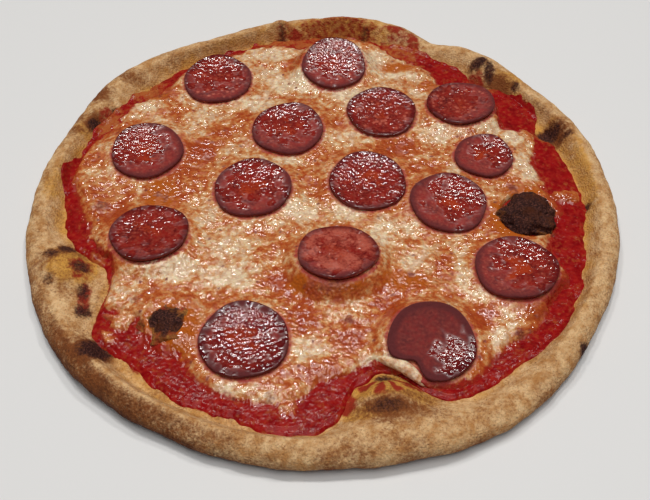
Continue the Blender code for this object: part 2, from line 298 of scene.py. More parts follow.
world = bpy.data.worlds.new("studio")
world.use_nodes = True
sky = world.node_tree.nodes["Background"]
sky.inputs["Color"].default_value = (*SKY_COLOUR, 1)
sky.inputs["Strength"].default_value = SKY_STRENGTH
bpy.context.scene.world = world
bpy.context.scene.view_settings.view_transform = "Standard"
add_floor()
for lamp in LAMPS:
    add_lamp(*lamp)

# %% [markdown]
# ## Two ways to start a round piece
# A rim is made like a cuff: a sheet of squares is rolled until its two sides meet, and each ring of points
# is then put at its own radius and height. A layer of cheese or a slice is a disc whose whole face shows, so
# it starts as a square grid pulled round: its points lie equally close all over, where a rolled sheet would
# crowd them at the middle. Both are closed shells, with a skirt and an underside.

# %% Round shells
def rolled_shell(rings, steps):
    """A sheet rolled into rings, the first and last on the axis, with each point's ring and angle."""
    shape = bmesh.new()
    bmesh.ops.create_grid(shape, x_segments=steps, y_segments=rings - 1, size=1)
    for vertex in shape.verts:
        ring = round((vertex.co.y + 1) / 2 * (rings - 1))
        angle = (vertex.co.x + 1) * math.pi
        radius, drop = (0, -rings) if ring == rings - 1 else (ring, 0)
        vertex.co = (radius * math.cos(angle), radius * math.sin(angle), drop)
    bmesh.ops.remove_doubles(shape, verts=shape.verts, dist=0.0001)
    bmesh.ops.recalc_face_normals(shape, faces=shape.faces)
    mesh = mesh_of(shape, "shell")
    points = points_of(mesh)
    ring = np.where(points[:, 2] < -0.5, rings - 1, np.rint(np.hypot(points[:, 0], points[:, 1]))).astype(int)
    return mesh, ring, np.arctan2(points[:, 1], points[:, 0]) % TURN


def disc_shell(across, skirt):
    """A square grid pulled round, with rings of skirt under its edge and a middle point below.

    Also gives each point's share of the radius, its angle, and its skirt ring: 0 on the face itself.
    """
    shape = bmesh.new()
    bmesh.ops.create_grid(shape, x_segments=across, y_segments=across, size=1)
    level = shape.verts.layers.int.new("level")
    rim = [edge for edge in shape.edges if edge.is_boundary]
    for ring in range(1, skirt + 2):
        grown = bmesh.ops.extrude_edge_only(shape, edges=rim)["geom"]
        rim = [part for part in grown if isinstance(part, bmesh.types.BMEdge) and part.is_boundary]
        corners = [part for part in grown if isinstance(part, bmesh.types.BMVert)]
        for vertex in corners:
            vertex[level] = ring
    bmesh.ops.pointmerge(shape, verts=corners, merge_co=(0, 0, 0))
    bmesh.ops.recalc_face_normals(shape, faces=shape.faces)
    mesh = mesh_of(shape, "shell")
    levels = np.zeros(len(mesh.vertices), np.int32)
    mesh.attributes["level"].data.foreach_get("value", levels)
    mesh.attributes.remove(mesh.attributes["level"])
    x, y, _ = points_of(mesh).T
    # Each square ring of the grid becomes a circle. Its far coordinate is the radius.
    share = np.maximum(np.abs(x), np.abs(y))
    sideways = np.abs(x) > np.abs(y)
    along = np.where(sideways, y, -x) / np.maximum(share, 1e-9)
    along *= np.where(np.where(sideways, x, y) < 0, -1, 1)
    start = np.where(sideways, np.where(x > 0, 0, 2), np.where(y > 0, 1, 3)) * math.pi / 2
    return mesh, share, (start + along * math.pi / 4) % TURN, levels


def fine_ball(name, subdivisions):
    """A ball of even triangles, and the direction of each of its points from the middle."""
    shape = bmesh.new()
    bmesh.ops.create_icosphere(shape, subdivisions=subdivisions, radius=1.0)
    mesh = mesh_of(shape, name)
    return mesh, points_of(mesh)


def points_of(mesh):
    points = np.zeros(len(mesh.vertices) * 3)
    mesh.vertices.foreach_get("co", points)
    return points.reshape(-1, 3)


def finish_piece(name, mesh, points, masks, material, node=None):
    """Places the points, stores the masks for the material, and puts the piece in the scene."""
    mesh.name = name
    mesh.vertices.foreach_set("co", ((points - CENTRE) * MM).astype(np.float32).ravel())
    for label, values in masks.items():
        layer = mesh.attributes.new(label, "FLOAT", "POINT")
        layer.data.foreach_set("value", values.astype(np.float32))
    mesh.materials.append(material)
    mesh.shade_smooth()
    mesh.update()
    piece = bpy.data.objects.new(name, mesh)
    bpy.context.scene.collection.objects.link(piece)
    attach(piece, "root")
    if node:
        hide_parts(node)
    print(name, len(mesh.polygons), "faces")
    return piece


# %% [markdown]
# ## Shared shader groups
# Every finish on a pizza has the same two needs. A patch of colour, such as a scorch mark or a pool of oil,
# has a ragged edge finer than any mesh. And an oily or grainy skin catches light in points too small to
# model. Each is made once as a node group with its own inputs, and every material uses it with its own
# values.

# %% Node helpers
def seen(red, green, blue):
    """A colour given as a screen shows it, 0 to 255, turned into light values."""
    linear = [(c / 255 / 12.92) if c < 10 else ((c / 255 + 0.055) / 1.055) ** 2.4 for c in (red, green, blue)]
    return (*linear, 1.0)


def add(tree, kind, inputs=(), **settings):
    """A shader node, with its inputs given as values or as sockets to link from."""
    made = tree.nodes.new(kind)
    for name, value in settings.items():
        setattr(made, name, value)
    for name, value in dict(inputs).items():
        if isinstance(value, bpy.types.NodeSocket):
            tree.links.new(value, made.inputs[name])
        else:
            made.inputs[name].default_value = value
    return made


def work_out(tree, operation, *values):
    """The result of a math node, from values or sockets."""
    return add(tree, "ShaderNodeMath", dict(enumerate(values)), operation=operation).outputs[0]


def blend(tree, factor, first, second):
    """A colour between two others."""
    made = add(tree, "ShaderNodeMix", {0: factor, 6: first, 7: second}, data_type="RGBA")
    return made.outputs[2]


def ramp(tree, factor, stops):
    """A colour from a row of stops, each a place from 0 to 1 and a colour."""
    made = add(tree, "ShaderNodeValToRGB", {0: factor})
    row = made.color_ramp.elements
    for place, colour in stops[1:-1]:
        row.new(place)
    for stop, (place, colour) in zip(row, stops):
        stop.position = place
        stop.color = colour
    return made.outputs[0]


def scaled_place(tree, size):
    """Object coordinates with one unit for each size, given in mm as a socket."""
    coordinates = tree.nodes.new("ShaderNodeTexCoord").outputs["Object"]
    scale = work_out(tree, "DIVIDE", 1 / MM, size)
    return add(tree, "ShaderNodeVectorMath", {0: coordinates, "Scale": scale}, operation="SCALE").outputs[0]


def new_group(name, inputs, outputs):
    group = bpy.data.node_groups.new(name, "ShaderNodeTree")
    for label, default in inputs:
        socket = group.interface.new_socket(label, in_out="INPUT", socket_type="NodeSocketFloat")
        socket.default_value = default
    for label in outputs:
        group.interface.new_socket(label, in_out="OUTPUT", socket_type="NodeSocketFloat")
    print("node group", name, "takes", [label for label, _ in inputs])
    return group, group.nodes.new("NodeGroupInput").outputs, group.nodes.new("NodeGroupOutput").inputs


# %% Ragged edge group
RAGGED_INPUTS = (("Mask", 0.0), ("Size", 2.0), ("Raggedness", 0.6), ("Softness", 0.25), ("Fine", 0.6))
RAGGED, given, result = new_group("ragged_edge", RAGGED_INPUTS, ("Mask",))
place = scaled_place(RAGGED, given["Size"])
noise = {"Vector": place, "Scale": 1.0, "Detail": 4.0, "Roughness": given["Fine"]}
grain = add(RAGGED, "ShaderNodeTexNoise", noise).outputs[0]
centred = work_out(RAGGED, "SUBTRACT", grain, 0.5)
uneven = work_out(RAGGED, "MULTIPLY_ADD", centred, given["Raggedness"], given["Mask"])
low = work_out(RAGGED, "SUBTRACT", 0.5, given["Softness"])
high = work_out(RAGGED, "ADD", 0.5, given["Softness"])
edge = {"Value": uneven, "From Min": low, "From Max": high}
stepped = add(RAGGED, "ShaderNodeMapRange", edge, interpolation_type="SMOOTHSTEP")
RAGGED.links.new(stepped.outputs[0], result["Mask"])

# %% Fine skin group
SKIN, given, result = new_group("fine_skin", (("Size", 1.0), ("Pits", 0.5)), ("Height", "Gaps"))
place = scaled_place(SKIN, given["Size"])
soft = add(SKIN, "ShaderNodeTexNoise", {"Vector": place, "Scale": 1.0, "Detail": 0.0}).outputs[0]
pits = {"Vector": place, "Scale": 0.8, "Smoothness": 0.6}
round_cells = add(SKIN, "ShaderNodeTexVoronoi", pits, feature="SMOOTH_F1").outputs["Distance"]
pitted = work_out(SKIN, "MULTIPLY_ADD", round_cells, given["Pits"], soft)
SKIN.links.new(pitted, result["Height"])
SKIN.links.new(round_cells, result["Gaps"])


# %% Material helpers
def group(tree, which, **inputs):
    made = tree.nodes.new("ShaderNodeGroup")
    made.node_tree = which
    for name, value in inputs.items():
        if isinstance(value, bpy.types.NodeSocket):
            tree.links.new(value, made.inputs[name])
        else:
            made.inputs[name].default_value = value
    return made.outputs


def mask(tree, name):
    return add(tree, "ShaderNodeAttribute", attribute_name=name, attribute_type="GEOMETRY").outputs["Fac"]


def new_material(name, roughness, shine, soft_light, reach):
    """A material and its shader. soft_light is how much light sinks in, and reach how far, in mm."""
    made = bpy.data.materials.new(name)
    made.use_nodes = True
    shader = made.node_tree.nodes["Principled BSDF"]
    shader.inputs["Roughness"].default_value = roughness
    shader.inputs["Specular IOR Level"].default_value = shine
    shader.inputs["Subsurface Weight"].default_value = soft_light
    shader.inputs["Subsurface Radius"].default_value = reach
    shader.inputs["Subsurface Scale"].default_value = MM
    print("material", name, "with a shine of", shine)
    return made, made.node_tree, shader


def ragged(tree, share, size, raggedness, softness, fine=0.6):
    """A mask with a ragged edge: its grain in mm, how ragged and how soft it is, and how fine the grain."""
    settings = {"Mask": share, "Size": size, "Raggedness": raggedness, "Softness": softness, "Fine": fine}
    return group(tree, RAGGED, **settings)["Mask"]


def lay(tree, colour, layers):
    """Lays ragged patches over a colour, one layer after another.

    A layer is where it lies (the name of a mask, or one share for all), its colour, and its ragged edge.
    """
    for where, tone, *edge in layers:
        share = mask(tree, where) if isinstance(where, str) else where
        colour = blend(tree, ragged(tree, share, *edge), colour, tone)
    return colour


def add_skin(tree, shader, size, pits, depth):
    """Bumps of a fine skin: their size in mm, how pitted they are, and their depth in mm."""
    height = group(tree, SKIN, Size=size, Pits=pits)["Height"]
    bumps = add(tree, "ShaderNodeBump", {"Strength": 1.0, "Distance": depth * MM, "Height": height})
    tree.links.new(bumps.outputs["Normal"], shader.inputs["Normal"])


def add_wetness(tree, shader, wet, dry):
    """Roughness from the mask called dry: its value where the surface is wet, and where it is dry."""
    rough = add(tree, "ShaderNodeMapRange", {"Value": mask(tree, "dry"), "To Min": wet, "To Max": dry})
    tree.links.new(rough.outputs[0], shader.inputs["Roughness"])


# %% [markdown]
# ## Baked dough
# Dough leaves the oven pale gold where it rose quickly and brown where it touched heat, with a dry, finely
# mottled skin. Where bubbles rose highest it is burnt black. Next to the sauce, oil has soaked in and turned
# it yellow. One texture could hold all this, but it would have to be painted. Here each finish is a mask
# stored on the mesh, and the material lays their colours from the palest to the blackest.

# %% Dough material
DOUGH_LIGHT = seen(232, 193, 143)
DOUGH_CHAR = seen(42, 17, 15)
# Where each layer lies, its colour, then the size in mm, the raggedness and the softness of its edge.
DOUGH_LAYERS = (
    (0.52, seen(186, 132, 78), 5.0, 2.4, 0.5),
    ("oil", seen(212, 154, 70), 4.0, 0.8, 0.5),
    ("grit", seen(140, 86, 46), 1.0, 2.0, 0.35),
    ("toast", seen(128, 72, 34), 1.6, 1.6, 0.5),
    ("stain", seen(150, 44, 24), 2.8, 1.6, 0.35),
    ("dark", seen(72, 32, 14), 1.3, 1.6, 0.5),
)
ASH_LAYER = (0.34, seen(108, 62, 50), 0.9, 1.8, 0.3)


def make_dough_material():
    made, tree, shader = new_material("dough", 0.85, shine=0.2, soft_light=0.08, reach=(1.5, 0.8, 0.4))
    charred = lay(tree, DOUGH_CHAR, (ASH_LAYER,))
    colour = lay(tree, DOUGH_LIGHT, (*DOUGH_LAYERS, ("char", charred, 1.3, 1.2, 0.45)))
    tree.links.new(colour, shader.inputs["Base Color"])
    add_skin(tree, shader, size=0.9, pits=-0.5, depth=0.4)
    return made


DOUGH = make_dough_material()

# %% [markdown]
# ## The crust
# The crust is the largest piece: floor, inner slope, rim and underside in one skin. A plain ring would be
# too even, because a real rim is the same all the way round in kind but not in size. So it is a rolled
# sheet, and each of its rings follows the dough's own profile. Round domes lift the bubbles, and soft lumps
# of four sizes make the skin uneven. All lumps push inwards, so that the crust never grows past its solid.
# Where the near bubble tore, thin cracks fan out and show red.

# %% Bubbles and marks of the crust
# Bubbles of dough in the rim: x, y, half length across x, half width across y, height.
RIM_BUBBLES = (
    (6, 141, 33, 15, 5.5),
    (-27, 146, 9, 8, 4.5),
    (97, 106, 10, 11, 3.5),
    (131, 56, 8, 7, 2.5),
    (-128, -47, 16, 18, 5.0),
    (-108, -97, 8, 8, 2.0),
    (-130, 66, 8, 8, 2.0),
    (28, -122, 25, 15, 6.5),
)
# Burnt spots: x, y, half length, half width, strength.
CHARRED = (
    (96, 109, 5, 4, 0.85), (102, 103, 3, 6, 0.75), (95, 94, 6, 3, 0.6), (131, 52, 7, 4.5, 0.85),
    (140, 46, 4, 2, 0.6), (117, 90, 2.5, 3, 0.7), (142, -5, 3, 3, 0.8), (-132, -37, 3.5, 5, 0.8),
    (-138, -43, 5, 3.5, 0.65), (-122, -50, 4, 4, 0.7), (-136, -60, 3, 4, 0.5), (-119, -64, 2.5, 5, 0.7),
    (-117, -76, 3.5, 4, 0.75), (-107, -100, 6.5, 6.5, 1.0), (29, -113, 5, 2.5, 0.75),
    (29, -131, 8, 3, 0.62), (127, -100, 5, 4, 1.0), (-133, 57, 3.5, 4, 0.9), (-122, 72, 3, 2.5, 0.8),
    (-26, 142, 2.5, 5, 0.6), (27, 144, 3, 2, 0.5), (-60, 126, 5, 2, 0.6),
)
# Browned patches, as above.
BROWNED = (
    (-135, 82, 10, 8, 0.8), (-143, 62, 4, 5, 0.7), (-142, 50, 5, 5, 0.65), (-118, 98, 12, 6, 0.5),
    (30, -133, 20, 7, 0.7), (107, 94, 9, 7, 0.8), (131, 50, 10, 8, 0.7), (-150, -30, 4, 8, 0.4),
    (-126, -47, 15, 17, 0.35), (-107, -100, 10, 9, 0.7), (-133, 60, 7, 7, 0.6), (43, -125, 9, 4, 0.5),
    (10, -157, 14, 5, 0.3), (45, -152, 12, 5, 0.3),
)
# Dough soaked with yellow oil, as above.
OILED = (
    (-126, -47, 12, 14, 1.0), (20, -133, 14, 4, 0.8), (45, -124, 9, 6, 0.8), (-135, 52, 8, 8, 0.7),
    (-146, 8, 6, 12, 0.6), (144, 15, 5, 26, 0.7), (112, 96, 10, 7, 0.7), (10, 142, 36, 14, 0.7),
    (28, -118, 20, 9, 1.0),
)
# Sauce that ran up over the dough, as above.
SAUCE_SPLASHES = (
    (8, 143, 30, 13, 0.55), (48, 130, 14, 16, 0.55), (-22, 140, 10, 9, 0.55), (14, 153, 8, 3, 0.8),
    (46, 145, 6, 4, 0.8), (58, 134, 4, 9, 0.8), (-18, 143, 5, 5, 0.75), (12, -126, 4, 6, 0.9),
    (43, -119, 6, 2.5, 0.8), (93, 100, 6, 5, 0.8), (-126, 66, 5, 6, 0.7), (-122, -50, 5, 8, 0.6),
    (-118, -68, 3, 9, 0.7),
)
# The torn bubble: where its cracks start, how far they reach in mm, how many turns of ribs they make in a
# circle, and how far they are turned in degrees.
CRACK_FAN = (29, -113)
CRACK_REACH = 15
CRACK_COUNT = 8
CRACK_TURN = 134
SHORE_LUMPS = ((1.4, 11, 16), (0.9, 4.5, 17))  # of the sauce's edge: depth and size in mm, seed


def dome(points, bubble):
    centre_x, centre_y, half_x, half_y, height = bubble
    share = np.hypot((points[:, 0] - centre_x) / half_x, (points[:, 1] - centre_y) / half_y)
    return height * np.clip(1 - share * share, 0, None) ** 1.5


def slope_height(radius, angle):
    """Height of the dough inside the crest of the rim."""
    sauce = sauce_radius(angle)
    top = crest_height(angle)
    low = FLOOR_TOP + FOOT_RISE
    foot = FLOOR_TOP + FOOT_RISE * np.clip((radius - sauce + FOOT_IN) / FOOT_IN, 0, 1)
    share = np.clip((radius - sauce) / (edge_radius(angle) - RIM_CREST_IN - sauce), 0, 1)
    return np.where(radius < sauce, foot, low + (top - low) * ease(share))


def bubble_rise(points, angle):
    """How far the rim's bubbles lift the dough."""
    radius = np.hypot(points[:, 0], points[:, 1])
    rise = ease((radius - sauce_radius(angle) + 2) / 8) * ease((points[:, 2] - FLOOR_TOP) / 3)
    return rise * np.max([dome(points, bubble) for bubble in RIM_BUBBLES], axis=0)


def sauce_edge(points, angle):
    """The sauce's real, ragged edge."""
    return sauce_radius(angle) + swell(angle, SAUCE_SHORE) + layered(points, SHORE_LUMPS)


def cracks(points):
    """Red cracks that fan out between ribs of dough, where the near bubble's skin tore."""
    away = points[:, :2] - CRACK_FAN
    reach = np.hypot(*away.T)
    turn = CRACK_COUNT * np.arctan2(away[:, 1], away[:, 0]) + math.radians(CRACK_TURN)
    fan = np.cos(turn + 1.5 * lumps(points, 6, 44))
    within = ease((CRACK_REACH - reach) / 4) * ease((reach - 2) / 2) * ease(-away[:, 1] / 2)
    return within * (0.4 + 0.7 * fan)


def round_place(radius, angle, height):
    return np.stack([radius * np.cos(angle), radius * np.sin(angle), height], axis=1)


# %% Crust shape
CRUST_STEPS = 1080
SLOPE_RINGS = 36
ARC_RINGS = 36
FLOOR_SHARES = (0.0, 0.4, 0.75)
UNDER_SHARES = (0.9, 0.5, 0.0)
FLOOR, SLOPE, ARC, UNDER = range(4)  # the zones of the crust, from its middle outwards and under
CRUST_LUMPS = ((0.7, 17, 1), (0.35, 6, 2), (0.16, 2.6, 4), (0.07, 1.3, 5))  # depth and size in mm, seed
CRUST_INWARD = 0.75  # how far the lumps are pushed in, so that none stands out past the solid


def shape_crust():
    """The crust's mesh and points, the zone, radius and angle of each, and how burnt each is."""
    slope = np.linspace(0, 1, SLOPE_RINGS)
    arc = np.linspace(math.pi / 2, -math.pi / 2, ARC_RINGS + 1)[1:]
    parts = (FLOOR_SHARES, slope, arc, UNDER_SHARES)
    zone = np.repeat((FLOOR, SLOPE, ARC, UNDER), [len(part) for part in parts])
    value = np.concatenate(parts)
    mesh, ring, angle = rolled_shell(len(value), CRUST_STEPS)
    zone, value = zone[ring], value[ring]
    edge, sauce, top = edge_radius(angle), sauce_radius(angle), crest_height(angle)
    foot, crest, widest = sauce - FOOT_IN, edge - RIM_CREST_IN, RIM_WIDEST_SHARE * top
    turn = np.where(zone == ARC, value, 0)
    inner = np.where(turn > 0, crest, edge - RIM_UNDERCUT)
    radius = np.select(
        [zone == FLOOR, zone == SLOPE, zone == ARC],
        [foot * value, foot + (crest - foot) * value, inner + (edge - inner) * np.cos(turn)],
        (edge - RIM_UNDERCUT) * value,
    )
    arc_height = widest + np.where(turn > 0, top - widest, widest) * np.sin(turn)
    height = np.select([zone < ARC, zone == ARC], [slope_height(radius, angle), arc_height], 0.0)
    points = round_place(radius, angle, height)
    shows = (zone == SLOPE) | (zone == ARC)
    points[:, 2] += np.where(shows, bubble_rise(points, angle), 0)
    way = np.where(zone == ARC, turn, math.pi / 2)
    outward = round_place(np.cos(way), angle, np.sin(way))
    char = spots(points, CHARRED, soft=1.2)
    relief = layered(points, CRUST_LUMPS) + char * (0.5 * lumps(points, 2.2, 6) - 0.3)
    relief = np.minimum(relief - CRUST_INWARD, 0)
    visible = np.where(shows, ease((points[:, 2] - 0.3) / 2), 0) * ease((radius - foot) / 4)
    points += outward * (relief * visible)[:, None]
    return mesh, points, zone, radius, angle, char


# %% Crust marks
# Each mark is a sum of its causes. The factors are shares of the mark, and lengths inside `ease` are in mm.
HOT_SIDE = (230, 42)  # where the oven browned the rim most: its middle and half width in degrees
LESS_OIL = (262, 100)  # where less oil soaked in, as above
OIL_REACH = 9  # how far past the edge of the sauce the oil went
BROWN_BAND = 11  # how far in from the edge of the crust the hot side is browned


def crust_marks(points, zone, radius, angle, char):
    """How toasted, dark, burnt, oily, stained and gritty each point is; the low outer side is darkened partly
    as toasting and partly as painted shade.
    """
    edge, sauce = edge_radius(angle), sauce_radius(angle)
    outer = ease((radius - edge + 9) / 8) * (zone != SLOPE)
    # low: the lower outer side, darker partly from toasting and partly as painted shade.
    low = ease((11 - points[:, 2]) / 9) * outer
    hot_side = bump(angle, *HOT_SIDE)
    around = spots(points, CHARRED, soft=1.4)
    toast = spots(points, BROWNED, soft=1.2) + 0.1 + 0.4 * lumps(points, 14, 7) + 0.5 * low
    band = hot_side * ease((radius - edge + BROWN_BAND) / 5) * (zone == ARC)
    toast += 0.7 * band + 0.7 * around
    # The bottom few mm of the outer side are darkened as painted shade; the hot side and the burnt spots add
    # real browning.
    dark = low * (0.25 + 0.5 * hot_side) + 0.6 * ease((4.5 - points[:, 2]) / 4) * outer
    dark += band * (0.3 + 0.3 * lumps(points, 5, 42)) + 0.5 * around
    oil = ease((sauce + OIL_REACH - radius + 3 * lumps(points, 9, 9)) / 11)
    oil *= 0.8 - 0.4 * bump(angle, *LESS_OIL)
    oil = np.maximum(oil, spots(points, OILED, soft=0.9)) * (zone != UNDER)
    stain = ease((sauce_edge(points, angle) - radius + 1) / 2)
    stain = np.max([stain, spots(points, SAUCE_SPLASHES, soft=0.8), cracks(points)], axis=0) * (zone != UNDER)
    grit = 0.16 + 0.2 * low + 0.2 * lumps(points, 9, 41) + 0.3 * band
    char = char * (zone != UNDER)
    return {"toast": toast, "dark": dark, "char": char, "oil": oil, "stain": stain, "grit": grit}


crust_mesh, crust_points, *crust_places = shape_crust()
crust_masks = crust_marks(crust_points, *crust_places)
finish_piece("crust_skin", crust_mesh, crust_points, crust_masks, DOUGH, "crust")

# %% [markdown]
# ## Charred blisters
# Where steam lifted the dough through the toppings, two blisters stand up and are burnt. They could be
# domes in the crust's own skin, but their sides are too steep for it. So each is a ball sunk in the floor,
# with its sides made steeper, pushed in and out by lumps until it is craggy. Its black is broken by brown,
# and its right side is painted lighter: painted light on the facets that face right.

# %% Blisters
# Blisters: name, x, y, half sizes x, y and z, burnt spot x, y, half length and half width, then how high the
# cheese is drawn up round it in mm and the share of its size that stands free of the cheese.
BLISTERS = (
    ("blister_right", 110, -12, 16.0, 16.5, 11.0, 110, -12, 17.0, 18.0, 0.5, 0.98),
    ("blister_left", -75, -83, 14.0, 15.0, 9.0, -75, -83.5, 8, 8, 2.0, 0.62),
)
BLISTER_SINK = 2  # how deep its middle lies in the floor
BLISTER_ROOT = 1.8  # how far its hidden lower half goes down
BLISTER_STEEPNESS = 0.65  # below 1 its sides are steeper than a ball's


def make_blister(name, x, y, half_x, half_y, half_z, char_x, char_y, char_half_x, char_half_y, *_):
    mesh, way = fine_ball(name, subdivisions=6)
    way /= np.linalg.norm(way, axis=1)[:, None]
    tall = np.where(way[:, 2] > 0, half_z, BLISTER_ROOT)
    steep = np.sign(way[:, 2]) * np.abs(way[:, 2]) ** BLISTER_STEEPNESS
    ball = np.stack([way[:, 0] * half_x, way[:, 1] * half_y, steep * tall], axis=1)
    crag = 0.24 * lumps(ball, 10, 11) + 0.16 * (0.4 - np.abs(lumps(ball, 5.5, 12)))
    points = ball * (0.94 + crag * (way[:, 2] > 0))[:, None]
    points += (x, y, FLOOR_TOP - BLISTER_SINK)
    char = spots(points, ((char_x, char_y, char_half_x, char_half_y, 1.0),), soft=0.5, ragged=0.35, size=4)
    crumbs, _ = cells(points, 1.7, 34)
    points += way * (char * (0.6 * (0.5 - crumbs) + 0.35 * lumps(points, 1.3, 13)))[:, None]
    # Random brown breaks, plus a right side painted lighter: painted light on the right facets.
    lit_right_and_brown_breaks = lumps(points, 6, 45) + 0.3 * (points[:, 0] - x) / half_x
    masks = {
        "char": char * (0.85 - 0.6 * lit_right_and_brown_breaks + 0.3 * lumps(points, 3, 35)),
        "dark": char * (0.8 + 0.5 * lit_right_and_brown_breaks),
        "toast": 0.75 + 0.3 * lumps(points, 5, 14),
        "oil": np.full(len(points), 0.95),
        "stain": 0.3 + 0.35 * lumps(points, 6, 15),
        "grit": np.full(len(points), 0.3),
    }
    return finish_piece(name, mesh, points, masks, DOUGH)


for blister in BLISTERS:
    make_blister(*blister)

# %% [markdown]
# ## Tomato sauce
# The sauce is a wet, pulpy skin that shows as a ring inside the rim. Its edge is where its surface dips
# under the dough's, so the two meshes simply cross and the edge is as smooth as the meshes are fine. Its
# relief is round cells, like crushed tomato. A clear gloss over it would look like varnish, so the red
# itself is smooth but shines little, and its bumps break the light into small points.

# %% Sauce material
SAUCE_RED = seen(152, 14, 18)
# As for the dough, and for the first two how fine the raggedness is.
SAUCE_LAYERS = (
    (0.45, seen(114, 4, 12), 7.0, 2.0, 0.6, 0.45),
    (0.3, seen(168, 42, 32), 2.2, 1.6, 0.5, 0.4),
    ("baked", seen(172, 94, 48), 2.5, 2.4, 0.5),
)


def make_sauce_material():
    made, tree, shader = new_material("wet_sauce", 0.2, shine=0.12, soft_light=0.08, reach=(2.0, 0.4, 0.2))
    tree.links.new(lay(tree, SAUCE_RED, SAUCE_LAYERS), shader.inputs["Base Color"])
    add_skin(tree, shader, size=1.6, pits=-0.2, depth=0.22)
    return made


SAUCE = make_sauce_material()

# %% Sauce
# Places where the sauce has dried and baked orange-brown: x, y, half length, half width, strength.
BAKED_SAUCE = (
    (-122, 60, 10, 14, 0.8), (-108, 92, 11, 9, 0.8), (-75, 122, 22, 7, 0.9), (-22, 137, 20, 8, 0.7),
    (10, 143, 22, 8, 0.6), (48, 125, 14, 14, 0.6), (97, 96, 8, 6, 0.6), (-116, -48, 4, 12, 0.7),
    (130, 52, 6, 6, 0.6),
)
SAUCE_STEPS = 1000
SAUCE_MIDDLE = (0.0, 30.0, 60.0)  # radii of its first few rings, which the cheese hides
SAUCE_INNER = 88  # radius from which its rings lie close together
SAUCE_RINGS = 64
SAUCE_UNDER = (0.999, 0.93, 0.5, 0.0)  # the rings of its underside, as shares of its outline
SAUCE_SPREAD = 5  # how far past its even outline its hidden edge goes
SAUCE_HEM = 1.6  # height of its hidden underside, inside the dough
SAUCE_DIP = 2.4  # how far below the dough its edge ends
SAUCE_SLOPE = 4  # how wide the thinning edge is


def sauce_top(points, angle):
    """Height of the sauce, dipping under the dough past its edge."""
    radius = np.hypot(points[:, 0], points[:, 1])
    inside = (sauce_edge(points, angle) - radius) / SAUCE_SLOPE
    thick = SAUCE_THICKNESS * ease(inside) - SAUCE_DIP * ease(-inside * 2)
    pulp, _ = cells(points, 3.2, 18)
    wet = layered(points, ((0.3, 8, 19), (0.05, 1.6, 20))) + 0.2 * (0.5 - pulp)
    return slope_height(radius, angle) + GAP + thick + wet * ease(inside + 0.5)


def make_sauce():
    last = len(SAUCE_MIDDLE) + SAUCE_RINGS - 1
    mesh, ring, angle = rolled_shell(last + 1 + len(SAUCE_UNDER), SAUCE_STEPS)
    outline = sauce_radius(angle) + SAUCE_SPREAD
    middle = np.array(SAUCE_MIDDLE)[np.minimum(ring, len(SAUCE_MIDDLE) - 1)]
    share = np.clip((ring - len(SAUCE_MIDDLE)) / (SAUCE_RINGS - 1), 0, 1)
    radius = np.where(ring < len(SAUCE_MIDDLE), middle, SAUCE_INNER + (outline - SAUCE_INNER) * share)
    under = ring > last
    radius = np.where(under, outline * np.array(SAUCE_UNDER)[np.maximum(ring - last - 1, 0)], radius)
    points = round_place(radius, angle, np.zeros(len(radius)))
    points[:, 2] = np.where(under, SAUCE_HEM, sauce_top(points, angle))
    masks = {"baked": spots(points, BAKED_SAUCE, soft=1.2) + 0.2 * lumps(points, 7, 36)}
    finish_piece("sauce_skin", mesh, points, masks, SAUCE, "sauce")


make_sauce()

# %% [markdown]
# ## Where the slices lie
# The cheese has to meet each slice, so the slices' places come before the cheese. Each lies on a plane of
# its own: a little lifted, and tilted up on one side.

# %% Slice places
SLICE_THICKNESS = 2.2
SLICE_ROUNDING = 0.7
BED_MARGIN = 10
LOW_SIDE_MARGIN = 6
# Slices: x, y, diameter and lift, the side that is raised and the tilt in degrees, curl.
SLICES = (
    (-64, 98, 41.0, 0.6, 90, 3, 0.8),
    (7, 108, 38.5, 5.0, 90, 13, 0.6),
    (-20, 53, 41.0, 1.0, 60, 2, 1.0),
    (35, 68, 40.5, 0.6, 100, 2, 0.8),
    (82, 74, 40.0, 2.2, 300, 5, 0.8),
    (-99, 34, 40.0, 1.8, 100, 5, 1.0),
    (-38, 6, 42.0, 0.8, 40, 2, 0.8),
    (25, 11, 42.0, 0.8, 120, 3, 0.8),
    (91, 31, 32.5, 0.6, 60, 2, 0.6),
    (68, -5, 41.0, 0.8, 120, 3, 0.6),
    (-90, -28, 41.0, 2.2, 280, 4, 1.2),
    (8, -43, 41.5, 4.2, 275, 10, 1.0),
    (98, -51, 42.0, 1.6, 300, 3, 1.0),
    (-37, -94, 43.0, 0.6, 90, 1, 0.8),
    (52, -96, 42.0, 2.6, 115, 7, 0.6),
)
FOLDED_SLICE = 15
FOLD_ANGLE = 232
FOLD_HALF_WIDTH = 34
FOLD_DEPTH = 6.5
sizes = [row[2] for row in SLICES]
print("slices:", len(SLICES), "from", min(sizes), "to", max(sizes), "mm across")


def slice_plane(spec):
    """The centre of a slice's underside, and its rotation."""
    x, y, _, lift, raised_side, tilt, _ = spec
    toward = math.radians(raised_side)
    turn = Vector((math.sin(toward), -math.cos(toward), 0)) * math.radians(tilt)
    bed = FLOOR_TOP + SAUCE_THICKNESS + CHEESE_THICKNESS + 3 * GAP
    return np.array((x, y, bed + lift)), np.array(Euler((turn.x, turn.y, 0)).to_matrix())


def beds(points, spec):
    """Height that keeps the cheese below a slice, and how far past the slice's edge each point is."""
    centre, rotation = slice_plane(spec)
    normal = rotation[:, 2]
    away = points[:, :2] - centre[:2]
    length = np.hypot(*away.T)
    radius = spec[2] / 2
    rises = away @ normal[:2] < 0
    reach = np.where(rises, radius, radius + LOW_SIDE_MARGIN)
    away = away * np.minimum(1, reach / np.maximum(length, 1e-9))[:, None]
    return centre[2] - GAP - (away @ normal[:2]) / normal[2], length - radius


